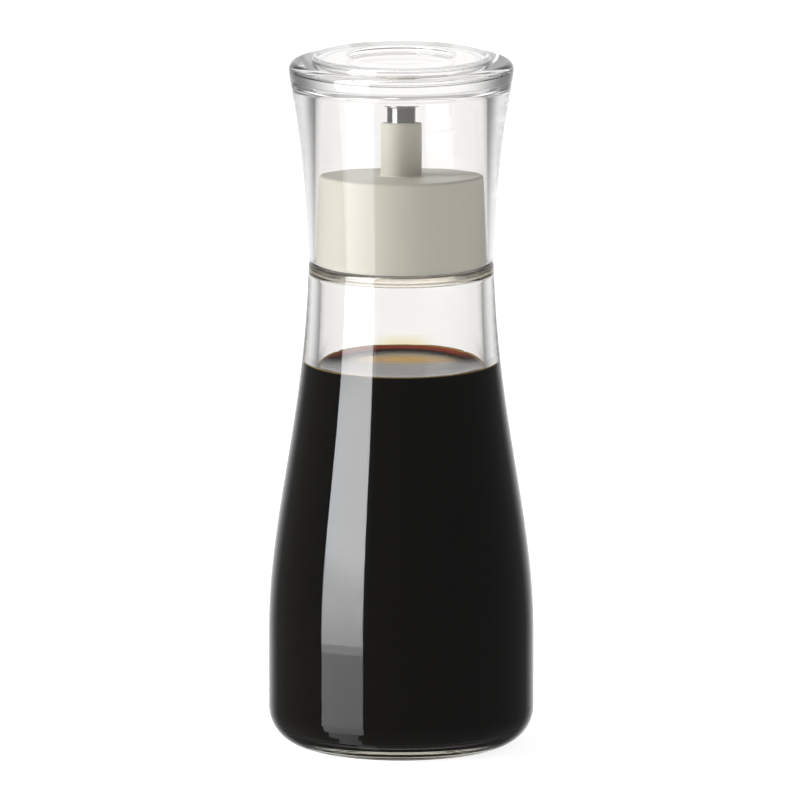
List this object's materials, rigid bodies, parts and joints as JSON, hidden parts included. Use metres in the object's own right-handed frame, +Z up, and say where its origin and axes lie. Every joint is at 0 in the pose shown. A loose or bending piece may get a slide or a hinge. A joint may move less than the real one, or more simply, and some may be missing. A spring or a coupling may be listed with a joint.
{
  "type": "glass soy sauce dispenser",
  "caption": "Clear glass soy sauce bottle with a flared body, filled below the shoulder, a plastic collar with a steel pouring tube, and a heavy glass lid over it.",
  "frame": {"origin": "centre of the flat base, where the bottle stands", "axes": "+Z up the bottle's axis of symmetry"},
  "size_m": [0.064, 0.064, 0.1682],
  "materials": {
    "bottle_glass": "clear, polished, thick walled",
    "soy_sauce": "dark brown liquid, nearly black in depth",
    "collar_plastic": "warm light grey, satin",
    "tube_steel": "polished steel",
    "lid_glass": "clear, polished, heavy"
  },
  "bodies": {
    "root": {"bottle": "bottle_glass", "soy_sauce": "soy_sauce", "collar": "collar_plastic", "pouring_tube": "tube_steel", "lid": "lid_glass"}
  },
  "joints": []
}
